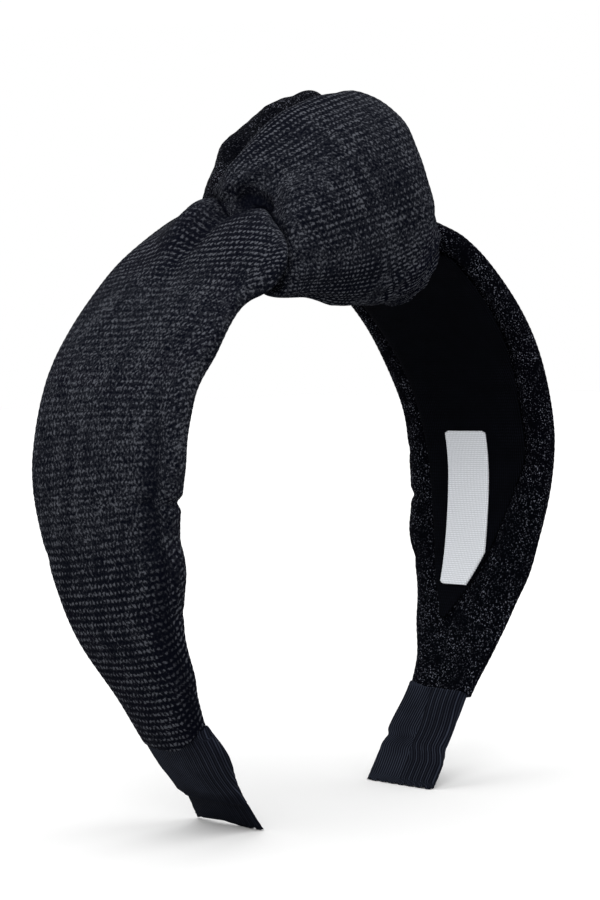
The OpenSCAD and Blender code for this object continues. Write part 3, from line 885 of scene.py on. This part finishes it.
shares = np.linspace(-LINING_LAST, LINING_LAST, 300)
front, back = lining_edge(1, shares), lining_edge(2, shares)
lining = flat_piece("lining_cloth", shares, front, back, LINING_LOW, LINING_THICK, 40, lining_waves)
knit, tree, surface, measure = fabric("black_knit", 0.95, 0.01)
parts = add(tree, "ShaderNodeSeparateXYZ", {0: measure})
wale = thread_wave(tree, parts.outputs[0], WALE_PITCH)
loop = thread_wave(tree, parts.outputs[1], LOOP_PITCH)
knit_light = calc(tree, "MULTIPLY", wale, scaled(tree, loop, 0.6, 0.4))
knit_light = calc(tree, "MULTIPLY", knit_light, scaled(tree, grain(tree, measure, KNIT_GRAIN), 1.2, 0.2))
tree.links.new(blend_colours(tree, knit_light, KNIT_DARK, KNIT_LIGHT), surface.inputs["Base Color"])
thread_relief(tree, surface, knit_light, strength=0.4, distance=0.0001)
lining.data.materials.append(knit)
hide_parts("lining")

# Label: woven light grey tape with a honeycomb weave, cut from a roll and sewn on the right leg's lining.
# Its lower corner is caught under the front hem. It is left bare.
# sizes in mm, the share of the leg where it starts, and the mm that its middle lies behind the band's
LABEL_WIDTH, LABEL_LONG, LABEL_THICK, LABEL_AT, LABEL_MIDDLE = 15.0, 45.0, 0.7, 0.473, 0.2
LABEL_LIES = LINING_LOW - LINING_THICK - 0.15
CELL_WIDE, CELL_LONG, CELL_RELIEF = 0.55, 0.55 * 1.1, 0.045
TAPE_DARK, TAPE_LIGHT = (0.30, 0.31, 0.33, 1), (0.60, 0.62, 0.65, 1)


def honeycomb(across, run):
    """Raised threads round small sunk cells."""
    a, b = across / CELL_WIDE * 2 * math.pi, run / CELL_LONG * 2 * math.pi
    return CELL_RELIEF * (np.cos(a) * np.cos(b) + 0.4 * np.cos(2 * b))


shares = LABEL_AT + np.linspace(0, LABEL_LONG / LEG_RUN, 300)
# the sides are a little frayed, and the corners are rounded by the cut
fray = 0.10 * np.sin(shares * 3100) + 0.07 * np.sin(shares * 1711 + 1)
down = (shares - LABEL_AT) / np.ptp(shares)
lean = 0.7 - 1.4 * down
corner = 1.2 * np.clip(1 - down / 0.02, 0, 1) ** 2 + 1.2 * np.clip(1 - (1 - down) / 0.02, 0, 1) ** 2
front = LABEL_MIDDLE + lean - LABEL_WIDTH / 2 + corner
front = np.maximum(front, lining_edge(1, shares) + 0.5) + fray
back = LABEL_MIDDLE + lean + LABEL_WIDTH / 2 - corner + 0.5 * fray[::-1]
label = flat_piece("bare_label", shares, front, back, LABEL_LIES, LABEL_THICK, 100, honeycomb)
tape, tree, surface, measure = fabric("label_tape", 0.8, 0.2)
parts = add(tree, "ShaderNodeSeparateXYZ", {0: measure})
cell_across = thread_wave(tree, parts.outputs[0], CELL_WIDE)
cell_down = thread_wave(tree, parts.outputs[1], CELL_LONG)
thread = calc(tree, "MULTIPLY", cell_across, cell_down)
thread = calc(tree, "ADD", thread, calc(tree, "MULTIPLY", grain(tree, measure, 0.5), 0.5))
tree.links.new(blend_colours(tree, thread, TAPE_DARK, TAPE_LIGHT), surface.inputs["Base Color"])
label.data.materials.append(tape)
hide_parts("label")

# Ribbon tips: each end of the core strip is bound in ribbed ribbon, wrapped round it with the ribs upright.
# The ribbon goes up into the cloth, and its cut end is folded in and pressed flat where the headband stands.
# in mm: width, thickness at the hem and at the floor, and the pitch and relief of the ribs
RIBBON_WIDTH, RIBBON_TOP, RIBBON_TIP, RIB_PITCH, RIB_RELIEF = 22.5, 4.4, 2.4, 0.85, 0.13
PICK_PITCH, RIBBON_GRAIN = 0.35, 8
RIB_DARK, RIB_LIGHT = (0.0007, 0.0010, 0.0026, 1), (0.018, 0.0215, 0.032, 1)
# each side's edges: mm beyond half the width, then its steps and its swells, as on the legs' edges
RIBBON_EDGES = {
    (-1, "front"): (0.4, ((0.85, 0.5, 0.15),), ((0.12, 3.4, 0.27),)),
    (-1, "back"): (2.1, ((0.25, -1.3, 0.3), (0.58, -1.9, 0.06), (0.6, 2.5, 0.45)), ()),
    (1, "front"): (-0.8, ((0.55, 1.4, 0.2),), ()),
    (1, "back"): (-1.3, ((0, 1.9, 0.5), (0.8, 0.2, 0.2)), ((0.52, -1.0, 0.05),)),
}

ribbon, tree, surface, measure = fabric("ribbed_ribbon", 0.8, 0.03)
parts = add(tree, "ShaderNodeSeparateXYZ", {0: measure})
# the ribs are lighter on their crests and darker between them: partly their own colour, partly painted shade
# in the grooves
rib = thread_wave(tree, parts.outputs[0], RIB_PITCH)
pick = thread_wave(tree, parts.outputs[1], PICK_PITCH)
rib_light = calc(tree, "MULTIPLY", calc(tree, "POWER", rib, 1.5), scaled(tree, pick, 0.4, 0.6))
rib_light = calc(tree, "MULTIPLY", rib_light, scaled(tree, grain(tree, measure, RIBBON_GRAIN), 1.8, 0.1))
# towards the front edge the ribs are pressed together in twos and threes
pressed = scaled(tree, parts.outputs[0], -0.12, 0.1, clamp=True)
bundle = calc(tree, "SUBTRACT", 1, thread_wave(tree, parts.outputs[0], 2.5 * RIB_PITCH))
pressed = calc(tree, "MULTIPLY", pressed, bundle)
rib_light = calc(tree, "MULTIPLY", rib_light, scaled(tree, pressed, -0.85, 1.1))
# the folded-in end lies in its own shade
rib_light = calc(tree, "MULTIPLY", rib_light, scaled(tree, mark_on(tree, "folded"), -0.45, 1))
tree.links.new(blend_colours(tree, rib_light, RIB_DARK, RIB_LIGHT), surface.inputs["Base Color"])
thread_relief(tree, surface, rib_light, strength=0.4, distance=0.0001)


def ribbon_edge(side, edge, down):
    """How far a ribbon's edge lies from its middle, in mm; down is 0 at the hem and 1 at the floor."""
    beyond, steps, swells = RIBBON_EDGES[side, edge]
    return RIBBON_WIDTH / 2 + beyond + stepped(down, steps) + swollen(down, swells)


def cut_height(side, across):
    """Height of a ribbon's cut end: a little ragged, and a little higher at the left one's back corner."""
    cut = np.maximum(0.15, 0.3 + 0.25 * np.sin(across * 1.9) + 0.2 * np.sin(across * 5.1))
    return cut + (1.1 * bump(across - 4, 6) if side < 0 else 0)


def ribbon_rings(side):
    """Sections of a ribbon from inside the cloth down to its cut end."""
    last = inner_line(side) - inner_line(side * 0.996)
    for_each_mm_up = np.array([last[0] / last[1], 0, 1])
    rings = []
    for share in side * np.linspace(HEM_AT - 0.06, 1, 110):
        down = (abs(share) - HEM_AT) / (1 - HEM_AT)
        thick = RIBBON_TOP + (RIBBON_TIP - RIBBON_TOP) * np.clip(down, 0, 1)
        # the folded-in end makes the tip thinner under a soft line
        folded = ease((down - 0.64) / 0.06) * (1 if side < 0 else 0.4)
        front, back = ribbon_edge(side, "front", down), ribbon_edge(side, "back", down)
        ring = pad_ring(front, back, 0.2 * folded, thick - 1.1 * folded, roundness=0.35, count=336)
        # inside the cloth the ribbon lies deeper than the cloth's own faces
        cloth_to = np.abs(cloth_end(side * HEM_AT, ring[:, 0]))
        inside = 1 - ease((abs(share) - cloth_to + 0.004) / 0.005)
        deeper = np.stack([-np.sign(ring[:, 0]), np.where(ring[:, 1] < 1.5, 1.0, -0.6)], -1)
        ring = ring + inside[:, None] * deeper
        points = place(share, ring[:, 0], ring[:, 1])
        lift = cut_height(side, ring[:, 0]) - points[:, 2]
        lift = lift if abs(share) == 1 else np.maximum(lift, 0)
        rings.append(points + lift[:, None] * for_each_mm_up)
    return np.array(rings)


def ribbon_tip(name, side, node):
    """One ribbon with raised ribs, which run down it with a slight sway, whatever its edges do."""
    rings = ribbon_rings(side)
    middle = rings.shape[1] // 2
    across, along = measured(rings, middle)
    outer = slice(middle - 60, middle + 60)
    for k in range(len(rings)):
        across[k] -= np.interp(0, rings[k, outer, 1], across[k, outer])
    across = across + 0.5 * np.sin(np.clip(along - 9, 0, 22) / 22 * 2 * math.pi)
    ribs = 0.5 + 0.5 * np.cos(2 * math.pi * across[:, :-1] / RIB_PITCH)
    rings[:-1] += (outward_normals(rings) * (ribs * RIB_RELIEF)[..., None])[:-1]
    folded = ease((along[:, :-1] / along.max() - 0.69) / 0.04) * (side < 0)
    if side > 0:
        rings, across, along, folded = rings[:, ::-1], across[:, ::-1], along[:, ::-1], folded[:, ::-1]
    piece = loft(name, rings, across, along, folded=folded)
    piece.data.materials.append(ribbon)
    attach(piece, "root")
    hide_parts(node)


ribbon_tip("ribbon_left", -1, "tip_left")
ribbon_tip("ribbon_right", 1, "tip_right")
